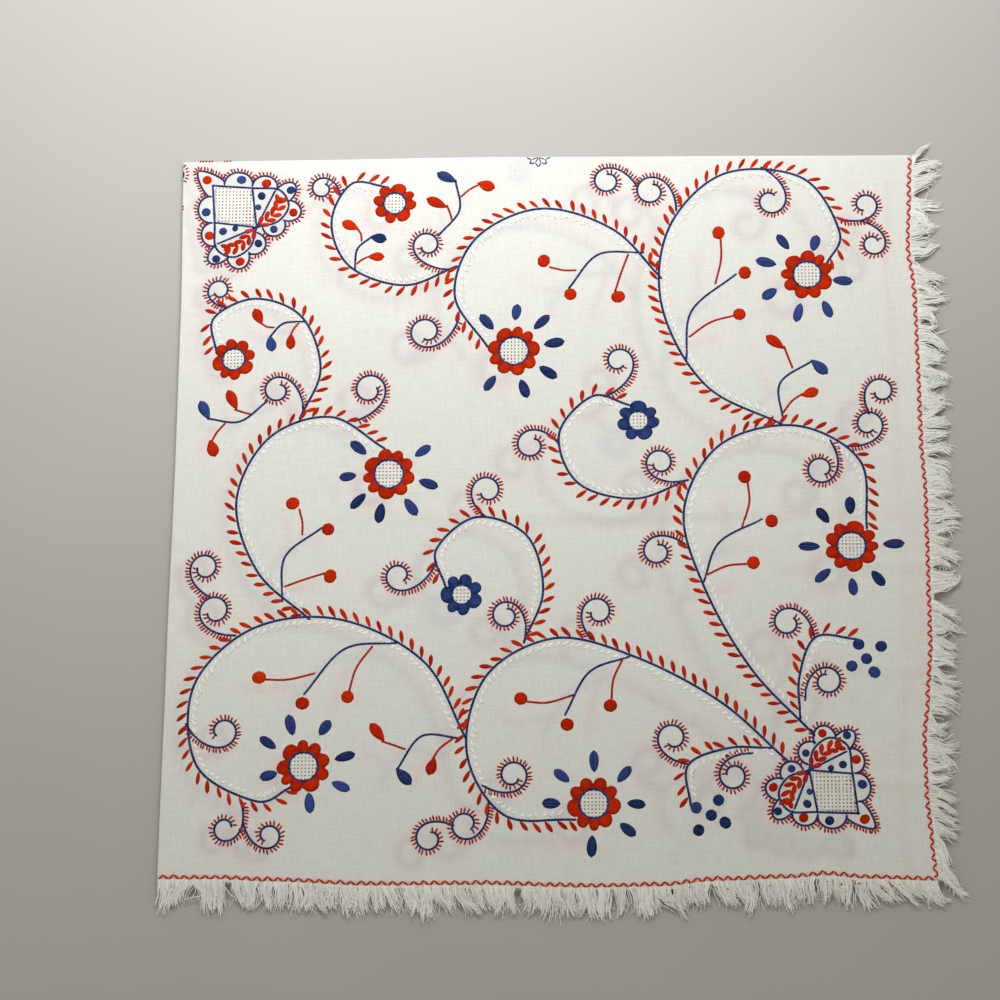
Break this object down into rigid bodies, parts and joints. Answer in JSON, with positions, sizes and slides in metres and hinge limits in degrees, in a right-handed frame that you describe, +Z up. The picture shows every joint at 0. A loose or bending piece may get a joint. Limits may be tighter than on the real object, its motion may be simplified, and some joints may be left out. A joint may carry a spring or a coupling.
{
  "type": "embroidered linen tablecloth",
  "caption": "Square linen tablecloth folded into a flat stack, with a frayed fringe and traditional flower, scroll and heart embroidery in red, blue and white.",
  "frame": {"origin": "on the surface the cloth lies on, under the middle of the folded stack, fringes included", "axes": "+X from the first fold towards the frayed hem at the right, +Y from the frayed hem at the front towards the second fold, +Z up"},
  "size_m": [0.7586, 0.7602, 0.0083],
  "materials": {
    "linen": "bleached plain-weave linen",
    "fringe_yarn": "frayed linen yarn",
    "red_thread": "cotton embroidery thread",
    "blue_thread": "cotton embroidery thread",
    "white_thread": "cotton embroidery thread"
  },
  "bodies": {
    "root": {"linen_cloth": "linen", "fringe_outer_side": "fringe_yarn", "fringe_inner_side": "fringe_yarn", "fringe_upper_end": "fringe_yarn", "fringe_lower_end": "fringe_yarn"}
  },
  "joints": []
}
